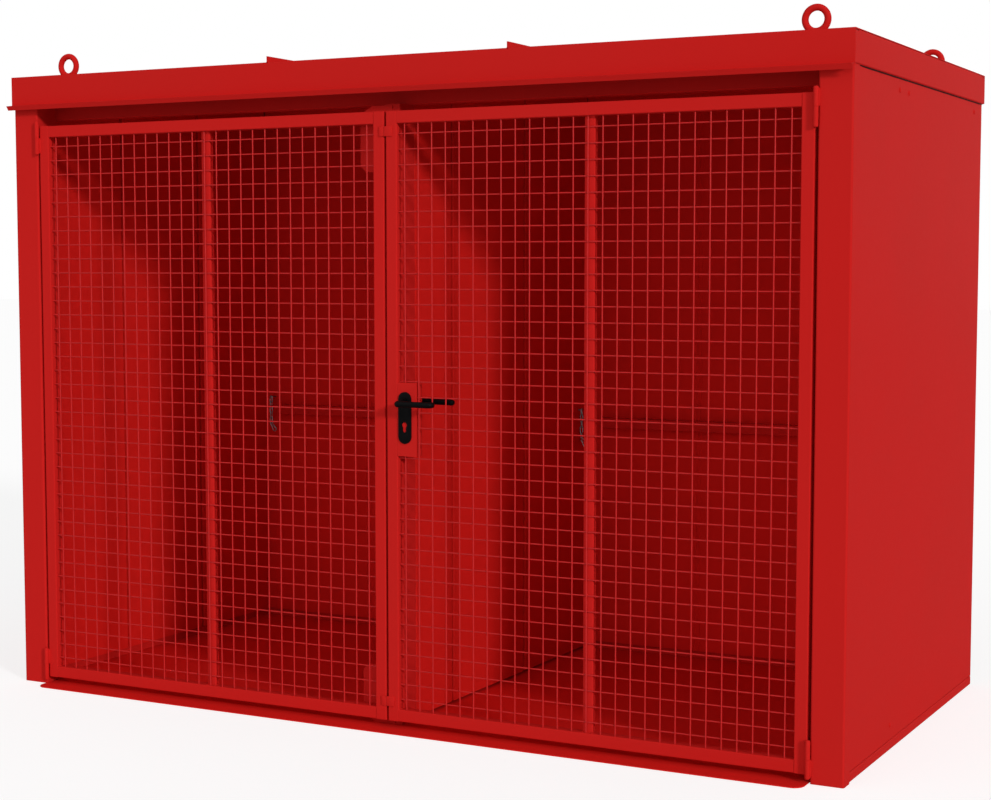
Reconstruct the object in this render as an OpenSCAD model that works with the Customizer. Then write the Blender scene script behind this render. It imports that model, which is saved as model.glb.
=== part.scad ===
/* [Overall] */
// Width over the roof edge
roof_w = 3120; // [2400:20:4000]
// Depth over the roof edge
roof_d = 1560; // [1200:20:2000]
// Height from the ground to the top of the roof sheet
total_h = 2200; // [2000:10:2600]
// Height of the folded roof edge
fascia_h = 100; // [80:5:140]
// How far the side sheets stand in from the roof edge
side_inset = 8; // [6:1:20]
// How far the front columns stand in from the roof edge
front_inset = 7; // [4:1:15]
// How far the rear sheet stands in from the roof edge
rear_inset = 7; // [6:1:20]

/* [Sheet metal] */
// Thickness of the wall, roof and edge sheets
sheet_t = 2; // [1.5:0.5:3]
// Thickness of the folded columns
column_t = 3; // [2:0.5:4]
// Inside radius of every fold
fold_r = 3; // [1.5:0.5:5]
// Thickness of a double wall, outer sheet to inner face
wall_t = 52; // [44:2:80]
// Groove between two inner wall panels
panel_groove = 12; // [6:1:20]
// Number of inner panels on a side wall
side_panels = 3; // [2:1:4]
// Number of inner panels on the rear wall of one bay
rear_panels = 3; // [2:1:4]
// Width of the groove in the inner rear corners
corner_groove = 36; // [20:2:50]

/* [Frame] */
// Width of a front column
column_w = 104; // [80:2:140]
// Depth of the inner side of a front column
column_d = 105; // [80:5:140]
// Depth of the outer side of a front column
column_return = 55; // [40:5:80]
// Width of the lip at the back of a front column
column_lip = 25; // [15:1:40]
// How far a side sheet reaches in behind the column's outer side
column_lap = 18; // [8:1:30]
// Width of the base rails
base_w = 40; // [30:5:80]
// Height of the base rails
base_h = 32; // [24:2:80]
// Groove between the base rails and the outer sheets
base_groove = 3; // [1:0.5:6]
// Thickness of the base rail tube wall
rail_t = 3; // [2:0.5:5]
// Thickness of the floor plate
floor_t = 4; // [3:1:8]
// How far the floor plate reaches out in front of the columns
sill_reach = 67; // [40:1:120]
// Corner radius of the floor plate's front edge
sill_r = 35; // [10:5:60]
// Height of the header beam
header_h = 148; // [120:2:200]
// Depth of the header beam
header_d = 40; // [30:5:60]
// Width of the centre post
post_w = 56; // [50:2:80]
// Gap under the partition
partition_gap = 8; // [4:1:20]
// Width of a partition panel
partition_panel_w = 550; // [400:10:700]

/* [Roof] */
// Distance of each standing seam from the middle
seam_x = 450; // [300:10:700]
// Height of the standing seams
seam_h = 20; // [12:1:40]
// Gap between the two plates of a standing seam
seam_gap = 0.4; // [0.3:0.1:2]
// Width of the flange under the roof sheet
roof_flange = 40; // [25:5:60]
// Reach of the drip lip in front of the roof edge
lip_reach = 32; // [15:1:60]
// Fall of the drip lip to its front
lip_fall = 4; // [0:1:8]
// Height of the hem at the front of the drip lip
lip_hem = 15; // [8:1:20]
// How far the hem's lower edge lies behind its upper edge
lip_hem_back = 6; // [0:1:12]

/* [Lifting eyes] */
// Distance of the lifting eyes from the roof's side edges
eye_side_inset = 157; // [80:1:400]
// Distance of the lifting eyes from the roof's front and rear edges
eye_front_inset = 127; // [80:1:300]
// Thickness of the ring
eye_ring_t = 20; // [12:1:26]
// Clear diameter of the ring
eye_hole_d = 50; // [30:1:60]
// Width of the flat land in the ring's hole
eye_land = 8; // [4:1:12]
// Diameter of the collar
eye_collar_d = 50; // [30:1:60]

/* [Doors] */
// Gap between a leaf and its column
leaf_side_gap = 10; // [6:1:14]
// Gap between the two leaves
leaf_gap = 8; // [6:1:20]
// Height of a leaf's lower edge above the ground
leaf_z = 27; // [15:1:60]
// Gap between a leaf's upper edge and the header beam
leaf_top_gap = 27; // [15:1:50]
// Width and depth of the leaf tubes
tube_w = 40; // [30:1:60]
// Wall thickness of the leaf tubes
tube_t = 2; // [1.5:0.5:4]
// Width of the bar in the middle of a leaf
mid_bar_w = 35; // [20:1:50]
// Depth of the bar in the middle of a leaf
mid_bar_d = 20; // [12:1:25]
// Depth of the bar's front behind the leaf's front
mid_bar_inset = 15; // [12:1:20]
// Distance between two wires
wire_pitch = 50; // [40:5:80]
// Thickness of the wires
wire_t = 5; // [4:0.5:8]
// Number of level wires above and below the lock's in the middle field
middle_rows = 6; // [4:1:6]

/* [Hinges] */
// Diameter of the hinge barrels
barrel_d = 16; // [14:1:20]
// Height of one hinge
barrel_h = 118; // [100:2:160]
// Width of a hinge wing, from the barrel's middle
wing_w = 26; // [16:1:34]
// Thickness of a hinge wing
wing_t = 4; // [3:0.5:6]
// Diameter of the hinge pins
hinge_pin_d = 9; // [6:1:10]
// Height of a hinge pin above its barrel half
hinge_pin_h = 40; // [20:1:45]
// Running clearance of the hinge pins
pin_clear = 0.1; // [0.05:0.01:0.1]
// Gap between the two halves of a hinge
half_gap = 0.3; // [0.2:0.1:1]
// Centre of the lower hinge above the leaf's lower edge
lower_hinge_rise = 47; // [46:1:300]
// Centre of the upper hinge below the leaf's upper edge
upper_hinge_drop = 42; // [34:1:300]

/* [Lock] */
// Width of the lock case
lock_w = 69; // [50:1:100]
// Height of the lock case
lock_h = 240; // [180:2:320]
// Height of the lock case's upper edge above the lever
lock_top_rise = 66; // [50:1:120]
// Width of the handle plate
plate_w = 48; // [30:1:50]
// Height of the handle plate
plate_h = 169; // [150:1:200]
// Height of the handle plate's upper end above the lever
plate_top_rise = 36; // [30:1:50]
// Distance of the handle plate from the stile beside it
plate_side_gap = 4.5; // [2:0.5:12]
// Thickness of the handle plate
plate_t = 4; // [3:0.5:12]
// Height of the lever above the ground
lever_z = 1081; // [900:1:1200]
// Distance from the lever down to the key hole
lock_centres = 72; // [60:1:92]
// Diameter of the key hole's round part
key_hole_d = 17; // [12:1:20]
// Width of the key hole's lower part
key_slot_w = 10; // [6:1:12]
// Depth of the key hole's lower part below the round part's middle
key_slot_drop = 23; // [14:1:26]
// Length of the lever
lever_len = 136; // [90:1:160]
// Thickness of the lever
neck_d = 20; // [14:1:24]
// Clearance around the lever's neck
neck_clear = 1; // [0.5:0.5:2]
// Reach of the lever in front of the leaf
lever_reach = 67; // [48:1:80]
// Gap between the lever's tip and the leaf
lever_tip_gap = 22; // [10:1:30]

/* [Stops and fittings] */
// Width of the stop plates behind the leaf gap
stop_w = 121; // [80:1:200]
// Reach of the stop plates to the right of the middle
stop_right = 2; // [0:1:60]
// Thickness of the stop plates
stop_t = 5; // [3:1:8]
// Height of the upper stop plate
upper_stop_h = 214; // [120:1:260]
// Height of the lower stop plate
lower_stop_h = 194; // [120:1:260]
// Gap between the upper stop plate and the header beam
stop_header_gap = 5; // [3:1:20]
// Width of the stop plates' long chamfer
stop_chamfer_w = 45; // [10:5:60]
// Height of the stop plates' long chamfer
stop_chamfer_h = 25; // [10:5:60]
// Size of the stop plates' small chamfer
stop_corner = 20; // [5:1:40]
// Clearance between the closed leaves and the stops
stop_clear = 5; // [5:0.5:8]
// Width of a cover tab on the right leaf
right_tab_w = 25; // [12:1:34]
// Width of a cover tab on the left leaf
left_tab_w = 16; // [12:1:34]
// Height of the cover tabs
tab_h = 32; // [20:1:50]
// Thickness of the cover tabs
tab_t = 4; // [2:0.5:6]
// Distance of the cover tabs from the leaf's ends
tab_inset = 49; // [10:1:100]
// Height of the cylinder rails above the ground
cylinder_rail_z = 890; // [600:10:1200]
// Height of a cylinder rail
cylinder_rail_h = 40; // [30:1:60]
// Depth of a cylinder rail
cylinder_rail_d = 40; // [20:1:60]
// Gap between a cylinder rail and the walls beside it
cylinder_rail_gap = 75; // [75:5:120]
// Height of the chain pins above the ground
chain_z = 960; // [600:10:1300]
// Diameter of a chain pin
chain_pin_d = 6; // [4:0.5:6.5]
// Distance of the left chain's pin from the rear wall panel's edge
left_chain_inset = 9; // [9:1:15]
// Reach of the left chain's pin from the rear wall
left_chain_reach = 33; // [12:1:50]
// Distance of the right chain from the rear wall
right_chain_gap = 73; // [60:1:400]
// Reach of the right chain's pin from the partition
right_chain_reach = 10; // [8:1:50]
// Number of links in a hanging chain
chain_links = 6; // [3:1:12]
// Wire diameter of a chain link
link_wire_d = 4; // [3:0.5:6]
// Clear length of a chain link
link_clear = 24; // [18:1:36]
// Clear width of a chain link
link_inner_w = 7; // [7:0.5:12]

/* [Hidden] */
$fn = 48;

paint = [0.73, 0.12, 0.10];
steel = [0.72, 0.73, 0.74];
plastic = [0.07, 0.07, 0.08];

bend_steps = 4;
overlap = 1;
seat_gap = 0.3;
half_tray_gap = 0.2;

body_half_w = roof_w / 2 - side_inset;
column_half_w = body_half_w + column_t;
front_y = -roof_d / 2 + front_inset;
rear_y = roof_d / 2 - rear_inset;
roof_under_z = total_h - sheet_t;
wall_top_z = roof_under_z - sheet_t;
fascia_z = total_h - fascia_h;
header_z = roof_under_z - header_h;
inner_half_w = body_half_w - wall_t;
inner_rear_y = rear_y - wall_t;
column_inner_x = column_half_w - column_w;
column_back_y = front_y + column_d;
post_front_y = front_y + tube_w + stop_clear + stop_t;
partition_front_y = column_back_y + header_d;

eye_x = roof_w / 2 - eye_side_inset;
eye_y = roof_d / 2 - eye_front_inset;
eye_rise = eye_hole_d / 2 + eye_ring_t;

hinge_x = column_inner_x - leaf_side_gap / 2;
hinge_y = front_y - barrel_d / 2;
leaf_outer_x = column_inner_x - leaf_side_gap;
leaf_inner_x = leaf_gap / 2;
leaf_w = leaf_outer_x - leaf_inner_x;
leaf_back_y = front_y + tube_w;
leaf_h = header_z - leaf_top_gap - leaf_z;
lower_hinge_z = leaf_z + lower_hinge_rise;
upper_hinge_z = leaf_z + leaf_h - upper_hinge_drop;
mesh_y = front_y + mid_bar_inset - wire_t;

left_chain_x = -inner_half_w + corner_groove + left_chain_inset;

lock_x = leaf_inner_x + tube_w;
lock_z = lever_z + lock_top_rise - lock_h;
spindle_x = lock_x + plate_side_gap + plate_w / 2;
key_z = lever_z - lock_centres;

upright_wires = floor((leaf_w - 2 * tube_w) / wire_pitch);
level_wires = floor((leaf_h - 2 * tube_w) / wire_pitch);
first_wire_x = leaf_inner_x + (leaf_w - (upright_wires - 1) * wire_pitch) / 2;
first_wire_z = leaf_z + (leaf_h - (level_wires - 1) * wire_pitch) / 2;
lock_row = round((lock_z + lock_h / 2 - first_wire_z) / wire_pitch);
field_starts = [0, lock_row - middle_rows, lock_row + middle_rows + 1, level_wires];

function unit(v) = v / norm(v);
function left_of(v) = [-v[1], v[0]];
function turned(v, a) = [v[0] * cos(a) - v[1] * sin(a), v[0] * sin(a) + v[1] * cos(a)];
function turn_angle(a, b) = atan2(a[0] * b[1] - a[1] * b[0], a * b);

// Length of a path's straight piece that one of its bends may use
function free_length(path, i) =
    norm(path[i + 1] - path[i]) / (i == 0 || i == len(path) - 2 ? 1 : 2);

// Inside radius of a bend, smaller where a straight piece beside it is short
function bend_r(path, i, t) =
    max(seat_gap, min(fold_r, min(free_length(path, i - 1), free_length(path, i)) - t));

// Points of one bend, on the side of the sheet that lies s to the left of its path
function bend_points(path, i, s, t) =
    let (
        d0 = unit(path[i] - path[i - 1]),
        d1 = unit(path[i + 1] - path[i]),
        a = turn_angle(d0, d1),
        r = bend_r(path, i, t),
        mitre = (left_of(d0) + left_of(d1)) / (1 + d0 * d1),
        centre = path[i] + mitre * (a > 0 ? t + r : -r),
        reach = a > 0 ? s - t - r : r + s
    )
    [for (k = [0 : bend_steps]) centre + left_of(turned(d0, a * k / bend_steps)) * reach];

// One side of a folded sheet that follows a path
function sheet_side(path, s, t) =
    let (last = len(path) - 1)
    concat(
        [path[0] + left_of(unit(path[1] - path[0])) * s],
        [for (i = [1 : last - 1]) each bend_points(path, i, s, t)],
        [path[last] + left_of(unit(path[last] - path[last - 1])) * s]
    );

// Section of a folded sheet, with its thickness to the left of the path
module folded_section(path, t) {
    far_side = sheet_side(path, t, t);
    polygon(concat(
        sheet_side(path, 0, t),
        [for (i = [len(far_side) - 1 : -1 : 0]) far_side[i]]
    ));
}

// Extrusion along X of a section drawn as [y, z]
module along_x(x0, length) {
    translate([x0, 0, 0]) rotate([90, 0, 90]) linear_extrude(length) children();
}

// Extrusion along Y of a section drawn as [x, z]
module along_y(y0, length) {
    translate([0, y0 + length, 0]) rotate([90, 0, 0]) linear_extrude(length) children();
}

function corner_points(centre, r, a0) =
    [for (i = [0 : bend_steps]) let (a = a0 + 90 * i / bend_steps) centre + r * [cos(a), sin(a)]];

// Outline of a rectangle with rounded corners
function rounded_box(w, d, r) = concat(
    corner_points([w - r, d - r], r, 0),
    corner_points([r, d - r], r, 90),
    corner_points([r, r], r, 180),
    corner_points([w - r, r], r, 270)
);

// Section of a rolled tube, with its corners rounded by its wall thickness
module tube_section(w, d, t) {
    difference() {
        polygon(rounded_box(w, d, t * 1.5));
        translate([t, t]) polygon(rounded_box(w - 2 * t, d - 2 * t, t / 2));
    }
}

module block(low, high) {
    translate(low) cube(high - low);
}

// Tray with its face at y = 0 and its two edges folded back
module tray(w, depth, h) {
    linear_extrude(h)
        folded_section([[0, depth], [0, 0], [w, 0], [w, depth]], sheet_t);
}

// A row of trays with grooves between them, in a total width
module tray_row(w, count, depth, h) {
    pitch = (w + panel_groove) / count;
    for (i = [0 : count - 1])
        translate([i * pitch, 0, 0]) tray(pitch - panel_groove, depth, h);
}

module floor_plate() {
    color(paint) linear_extrude(floor_t) {
        translate([-body_half_w + base_w, column_back_y])
            square([2 * (body_half_w - base_w), rear_y - base_w - column_back_y]);
        sill_w = 2 * (column_inner_x - leaf_side_gap / 2);
        translate([-sill_w / 2, front_y - sill_reach + sill_r])
            square([sill_w, column_back_y - front_y + sill_reach - sill_r + overlap]);
        translate([-sill_w / 2 + sill_r, front_y - sill_reach])
            square([sill_w - 2 * sill_r, sill_r + overlap]);
        for (side = [-1, 1])
            translate([side * (sill_w / 2 - sill_r), front_y - sill_reach + sill_r]) circle(sill_r);
    }
}

module base_rail_section() {
    tube_section(base_w, base_h, rail_t);
}

module side_base_rails() {
    color(paint) for (side = [0, 1]) mirror([side, 0, 0])
        along_y(front_y + column_return, rear_y - front_y - column_return)
            translate([body_half_w - base_w, 0]) base_rail_section();
}

module rear_base_rail() {
    color(paint) along_x(-body_half_w + base_w, 2 * (body_half_w - base_w))
        translate([rear_y - base_w, 0]) base_rail_section();
}

module right_column_shape() {
    linear_extrude(roof_under_z - sheet_t) folded_section([
        [column_inner_x + column_lip, column_back_y],
        [column_inner_x, column_back_y],
        [column_inner_x, front_y],
        [column_half_w, front_y],
        [column_half_w, front_y + column_return]
    ], column_t);
}

module left_front_column() {
    color(paint) mirror([1, 0, 0]) right_column_shape();
}

module right_front_column() {
    color(paint) right_column_shape();
}

module centre_post() {
    color(paint) translate([-post_w / 2, post_front_y, floor_t])
        linear_extrude(header_z - floor_t)
            tube_section(post_w, partition_front_y - post_front_y, column_t);
}

module header_beam() {
    color(paint) along_x(-inner_half_w, 2 * inner_half_w)
        translate([column_back_y, header_z]) tube_section(header_d, header_h, sheet_t);
}

module side_sheet() {
    block(
        [body_half_w - sheet_t, front_y + column_return - column_lap, base_h + base_groove],
        [body_half_w, rear_y - sheet_t, wall_top_z]
    );
}

module left_wall_sheet() {
    color(paint) mirror([1, 0, 0]) side_sheet();
}

module right_wall_sheet() {
    color(paint) side_sheet();
}

module rear_wall_sheet() {
    color(paint) block(
        [-body_half_w, rear_y - sheet_t, base_h + base_groove],
        [body_half_w, rear_y, wall_top_z]
    );
}

module side_panel_row() {
    front_end = front_y + column_return;
    translate([inner_half_w, inner_rear_y, base_h]) rotate([0, 0, -90])
        tray_row(inner_rear_y - front_end, side_panels, wall_t - sheet_t, wall_top_z - base_h);
}

module left_wall_panels() {
    color(paint) mirror([1, 0, 0]) side_panel_row();
}

module right_wall_panels() {
    color(paint) side_panel_row();
}

module rear_wall_panels() {
    bay_w = inner_half_w - post_w / 2;
    color(paint) for (side = [0, 1]) mirror([side, 0, 0])
        translate([post_w / 2, inner_rear_y, base_h])
            tray_row(bay_w - corner_groove, rear_panels, wall_t - sheet_t, wall_top_z - base_h);
}

// Widths of the partition panels from the rear wall forwards, the last one cut to fit
function partition_joints(y) = y - partition_panel_w > partition_front_y
    ? concat([y], partition_joints(y - partition_panel_w))
    : [y];

module partition_panels() {
    joints = partition_joints(inner_rear_y);
    z0 = floor_t + partition_gap;
    color(paint) for (side = [0, 1]) mirror([side, 0, 0])
        for (i = [0 : len(joints) - 1]) {
            far_y = joints[i];
            near_y = i + 1 < len(joints) ? joints[i + 1] + panel_groove : partition_front_y;
            translate([post_w / 2, near_y, z0]) rotate([0, 0, 90])
                tray(far_y - near_y, post_w / 2 - half_tray_gap, roof_under_z - z0);
        }
}

module left_roof_sheet() {
    color(paint) along_y(-roof_d / 2, roof_d) folded_section([
        [-roof_w / 2, roof_under_z],
        [-seam_x - seam_gap / 2, roof_under_z],
        [-seam_x - seam_gap / 2, total_h + seam_h]
    ], sheet_t);
}

module middle_roof_sheet() {
    edge_x = seam_x - seam_gap / 2;
    color(paint) along_y(-roof_d / 2, roof_d) folded_section([
        [-edge_x, total_h + seam_h],
        [-edge_x, roof_under_z],
        [edge_x, roof_under_z],
        [edge_x, total_h + seam_h]
    ], sheet_t);
}

module right_roof_sheet() {
    mirror([1, 0, 0]) left_roof_sheet();
}

module front_fascia() {
    edge_y = -roof_d / 2;
    color(paint) along_x(-roof_w / 2, roof_w) folded_section([
        [edge_y + roof_flange, roof_under_z],
        [edge_y, roof_under_z],
        [edge_y, fascia_z],
        [edge_y - lip_reach, fascia_z - lip_fall],
        [edge_y - lip_reach + lip_hem_back, fascia_z - lip_fall - lip_hem]
    ], sheet_t);
}

module side_fascias() {
    edge_x = -roof_w / 2;
    length = roof_d - 2 * sheet_t;
    corner = roof_flange - sheet_t;
    color(paint) for (side = [0, 1]) mirror([side, 0, 0]) difference() {
        along_y(-length / 2, length) folded_section([
            [edge_x + roof_flange, roof_under_z],
            [edge_x, roof_under_z],
            [edge_x, fascia_z],
            [edge_x + side_inset - column_t, fascia_z]
        ], sheet_t);
        for (end = [0, 1]) mirror([0, end, 0])
            block(
                [edge_x - overlap, -length / 2 - overlap, roof_under_z - sheet_t - fold_r],
                [edge_x + roof_flange + overlap, -length / 2 + corner, total_h]
            );
    }
}

// The rear edge's lower return stops at the side edges' returns
module rear_fascia() {
    edge_y = roof_d / 2;
    return_end = roof_w / 2 - side_inset + column_t;
    color(paint) difference() {
        mirror([0, 1, 0]) along_x(-roof_w / 2, roof_w) folded_section([
            [-edge_y + roof_flange, roof_under_z],
            [-edge_y, roof_under_z],
            [-edge_y, fascia_z],
            [-edge_y + rear_inset, fascia_z]
        ], sheet_t);
        for (side = [0, 1]) mirror([side, 0, 0])
            block(
                [return_end, rear_y - overlap, fascia_z - overlap],
                [roof_w / 2 + overlap, edge_y - sheet_t, fascia_z + sheet_t + fold_r]
            );
    }
}

// Cast ring with a flat land in its hole, a neck and a collar
module lifting_eye(x, y) {
    ring_r = (eye_hole_d + eye_ring_t) / 2;
    color(paint) translate([x, y, total_h]) {
        cylinder(h = eye_rise - ring_r, d = eye_collar_d);
        translate([0, 0, eye_rise]) rotate([90, 0, 0]) difference() {
            union() {
                rotate_extrude() translate([ring_r, 0]) circle(d = eye_ring_t, $fn = 24);
                cylinder(h = eye_land, r = ring_r, center = true);
            }
            cylinder(h = eye_ring_t, d = eye_hole_d, center = true);
        }
    }
}

module front_left_eye() {
    lifting_eye(-eye_x, -eye_y);
}

module front_right_eye() {
    lifting_eye(eye_x, -eye_y);
}

module rear_left_eye() {
    lifting_eye(-eye_x, eye_y);
}

module rear_right_eye() {
    lifting_eye(eye_x, eye_y);
}

// Plate with two corners chamfered, its top at z = 0
module stop_plate(h) {
    left_x = stop_right - stop_w;
    along_y(post_front_y - stop_t, stop_t) polygon([
        [stop_right, 0],
        [left_x + stop_chamfer_w, 0],
        [left_x, -stop_chamfer_h],
        [left_x, -h + stop_corner],
        [left_x + stop_corner, -h],
        [stop_right, -h]
    ]);
}

module stop_plates() {
    color(paint) {
        translate([0, 0, header_z - stop_header_gap]) stop_plate(upper_stop_h);
        translate([0, 0, floor_t]) mirror([0, 0, 1]) stop_plate(lower_stop_h);
    }
}

// Half of a weld-on hinge on the right column line, its wing towards side
module hinge_half(z0, h, side, pin_up) {
    barrel_r = barrel_d / 2;
    translate([hinge_x, hinge_y, z0]) difference() {
        union() {
            linear_extrude(h) {
                circle(d = barrel_d);
                polygon([
                    [0, barrel_r],
                    [side * wing_w, barrel_r],
                    [side * wing_w, barrel_r - wing_t],
                    [0, barrel_r - wing_t]
                ]);
            }
            if (pin_up) cylinder(h = h + hinge_pin_h, d = hinge_pin_d);
        }
        if (!pin_up)
            translate([0, 0, -overlap])
                cylinder(h = hinge_pin_h + 2 * overlap, r = hinge_pin_d / 2 + pin_clear);
    }
}

module lower_half(centre_z, side) {
    hinge_half(centre_z - barrel_h / 2, barrel_h / 2 - half_gap / 2, side, true);
}

module upper_half(centre_z, side) {
    hinge_half(centre_z + half_gap / 2, barrel_h / 2 - half_gap / 2, side, false);
}

module column_hinge_halves() {
    color(paint) for (m = [0, 1]) mirror([m, 0, 0]) {
        lower_half(lower_hinge_z, 1);
        upper_half(upper_hinge_z, 1);
    }
}

module leaf_hinge_halves() {
    upper_half(lower_hinge_z, -1);
    lower_half(upper_hinge_z, -1);
}

module cylinder_rails() {
    bay_w = inner_half_w - post_w / 2;
    color(paint) for (side = [0, 1]) mirror([side, 0, 0])
        along_x(post_w / 2 + cylinder_rail_gap, bay_w - 2 * cylinder_rail_gap)
            translate([inner_rear_y, cylinder_rail_z]) mirror([1, 0])
                tube_section(cylinder_rail_d, cylinder_rail_h, sheet_t);
}

// Oval link of round wire, lying along Z
module link() {
    r = (link_inner_w + link_wire_d) / 2;
    straight = link_clear - link_inner_w;
    for (end = [0, 1]) mirror([0, 0, end]) translate([0, 0, straight / 2])
        rotate([90, 0, 0]) rotate_extrude(angle = 180)
            translate([r, 0]) circle(d = link_wire_d, $fn = 16);
    for (side = [-1, 1])
        translate([side * r, 0, -straight / 2]) cylinder(h = straight, d = link_wire_d, $fn = 16);
}

// Pin with a head along X, and a chain of links that hangs from it
module hanging_chain(reach) {
    pitch = link_clear - 2 * seat_gap;
    first_z = chain_pin_d / 2 + seat_gap - link_clear / 2;
    rotate([0, 90, 0]) {
        cylinder(h = reach + link_wire_d, d = chain_pin_d);
        translate([0, 0, reach + link_wire_d]) cylinder(h = chain_pin_d / 2, d = 2 * chain_pin_d);
    }
    for (i = [0 : chain_links - 1])
        translate([reach, 0, first_z - i * pitch]) rotate([0, 0, i % 2 == 0 ? 90 : 0]) link();
}

module left_chain() {
    color(steel) translate([left_chain_x, inner_rear_y, chain_z])
        rotate([0, 0, -90]) hanging_chain(left_chain_reach);
}

module right_chain() {
    color(steel) translate([post_w / 2, inner_rear_y - right_chain_gap, chain_z])
        hanging_chain(right_chain_reach);
}

// Everything of a leaf is drawn for the right leaf, and the left one mirrors it
module leaf_stiles() {
    translate([0, front_y, leaf_z]) linear_extrude(leaf_h) {
        translate([leaf_inner_x, 0]) tube_section(tube_w, tube_w, tube_t);
        translate([leaf_outer_x - tube_w, 0]) tube_section(tube_w, tube_w, tube_t);
    }
}

module leaf_rails() {
    along_x(leaf_inner_x + tube_w, leaf_w - 2 * tube_w) {
        translate([front_y, leaf_z]) tube_section(tube_w, tube_w, tube_t);
        translate([front_y, leaf_z + leaf_h - tube_w]) tube_section(tube_w, tube_w, tube_t);
    }
}

module leaf_mid_bar() {
    translate([
        leaf_inner_x + (leaf_w - mid_bar_w) / 2,
        front_y + mid_bar_inset,
        leaf_z + tube_w
    ]) linear_extrude(leaf_h - 2 * tube_w) tube_section(mid_bar_w, mid_bar_d, tube_t);
}

// A field of welded wires between the stiles, from wire row first to wire row last
module wire_field(first, last, low_z, high_z) {
    along_y(mesh_y, wire_t) {
        for (row = [first : last])
            translate([leaf_inner_x + tube_w, first_wire_z + row * wire_pitch - wire_t / 2])
                square([leaf_w - 2 * tube_w, wire_t]);
        for (i = [0 : upright_wires - 1])
            translate([first_wire_x + i * wire_pitch - wire_t / 2, low_z])
                square([wire_t, high_z - low_z]);
    }
}

// The middle field lies evenly about the lock, the other two take the rest
function field_edge_z(n) = n == 0
    ? leaf_z + tube_w
    : n == 3 ? leaf_z + leaf_h - tube_w
    : first_wire_z + (field_starts[n] - 0.5) * wire_pitch;

module leaf_field(n) {
    wire_field(
        field_starts[n],
        field_starts[n + 1] - 1,
        field_edge_z(n),
        field_edge_z(n + 1)
    );
}

module leaf_tabs(w) {
    for (z = [leaf_z + tab_inset, leaf_z + leaf_h - tab_inset - tab_h])
        block([leaf_inner_x, front_y - tab_t, z], [leaf_inner_x + w, front_y, z + tab_h]);
}

module leaf_fittings(w) {
    leaf_hinge_halves();
    leaf_tabs(w);
}

module left_leaf_stiles() {
    color(paint) mirror([1, 0, 0]) leaf_stiles();
}

module left_leaf_rails() {
    color(paint) mirror([1, 0, 0]) leaf_rails();
}

module left_leaf_mid_bar() {
    color(paint) mirror([1, 0, 0]) leaf_mid_bar();
}

module left_lower_mesh() {
    color(paint) mirror([1, 0, 0]) leaf_field(0);
}

module left_middle_mesh() {
    color(paint) mirror([1, 0, 0]) leaf_field(1);
}

module left_upper_mesh() {
    color(paint) mirror([1, 0, 0]) leaf_field(2);
}

module left_leaf_fittings() {
    color(paint) mirror([1, 0, 0]) leaf_fittings(left_tab_w);
}

module right_leaf_stiles() {
    color(paint) leaf_stiles();
}

module right_leaf_rails() {
    color(paint) leaf_rails();
}

module right_leaf_mid_bar() {
    color(paint) leaf_mid_bar();
}

// The wires of the right leaf end at the lock case where it fills the frame
module right_leaf_field(n) {
    difference() {
        leaf_field(n);
        block(
            [leaf_inner_x, front_y, lock_z],
            [lock_x + lock_w, leaf_back_y, lock_z + lock_h]
        );
    }
}

module right_lower_mesh() {
    color(paint) right_leaf_field(0);
}

module right_middle_mesh() {
    color(paint) right_leaf_field(1);
}

module right_upper_mesh() {
    color(paint) right_leaf_field(2);
}

module right_leaf_fittings() {
    color(paint) leaf_fittings(right_tab_w);
}

module lock_case() {
    color(paint) difference() {
        block([lock_x, front_y, lock_z], [lock_x + lock_w, leaf_back_y, lock_z + lock_h]);
        translate([spindle_x, front_y - overlap, lever_z]) rotate([-90, 0, 0])
            cylinder(h = tube_w + 2 * overlap, d = neck_d + 2 * neck_clear);
    }
}

// Long plate with round ends, bored for the lever and the key
module handle_plate(y0) {
    mid_z = lever_z + plate_top_rise - plate_h / 2;
    half_h = (plate_h - plate_w) / 2;
    slot_z = key_slot_drop - key_slot_w / 2;
    along_y(y0, plate_t) difference() {
        union() {
            translate([spindle_x - plate_w / 2, mid_z - half_h]) square([plate_w, 2 * half_h]);
            for (end = [-1, 1]) translate([spindle_x, mid_z + end * half_h]) circle(d = plate_w);
        }
        translate([spindle_x, lever_z]) circle(d = neck_d + 2 * neck_clear);
        translate([spindle_x, key_z]) {
            circle(d = key_hole_d);
            translate([-key_slot_w / 2, -slot_z]) square([key_slot_w, slot_z]);
            translate([0, -slot_z]) circle(d = key_slot_w);
        }
    }
}

module handle_plates() {
    color(plastic) {
        handle_plate(front_y - plate_t);
        handle_plate(leaf_back_y);
    }
}

// Lever with a neck, a grip and a return towards the leaf
module lever_side() {
    grip_y = lever_reach - neck_d / 2;
    grip_end = lever_len - neck_d / 2;
    rotate([90, 0, 0]) cylinder(h = grip_y, d = neck_d);
    translate([0, -grip_y, 0]) {
        sphere(d = neck_d);
        rotate([0, 90, 0]) cylinder(h = grip_end, d = neck_d);
    }
    translate([grip_end, -grip_y, 0]) {
        sphere(d = neck_d);
        rotate([-90, 0, 0]) cylinder(h = grip_y - lever_tip_gap, d = neck_d);
    }
}

module lever_handle() {
    color(plastic) {
        translate([spindle_x, front_y, lever_z]) lever_side();
        translate([spindle_x, leaf_back_y, lever_z]) mirror([0, 1, 0]) lever_side();
        translate([spindle_x, front_y, lever_z]) rotate([-90, 0, 0])
            cylinder(h = tube_w, d = neck_d);
    }
}

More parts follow.
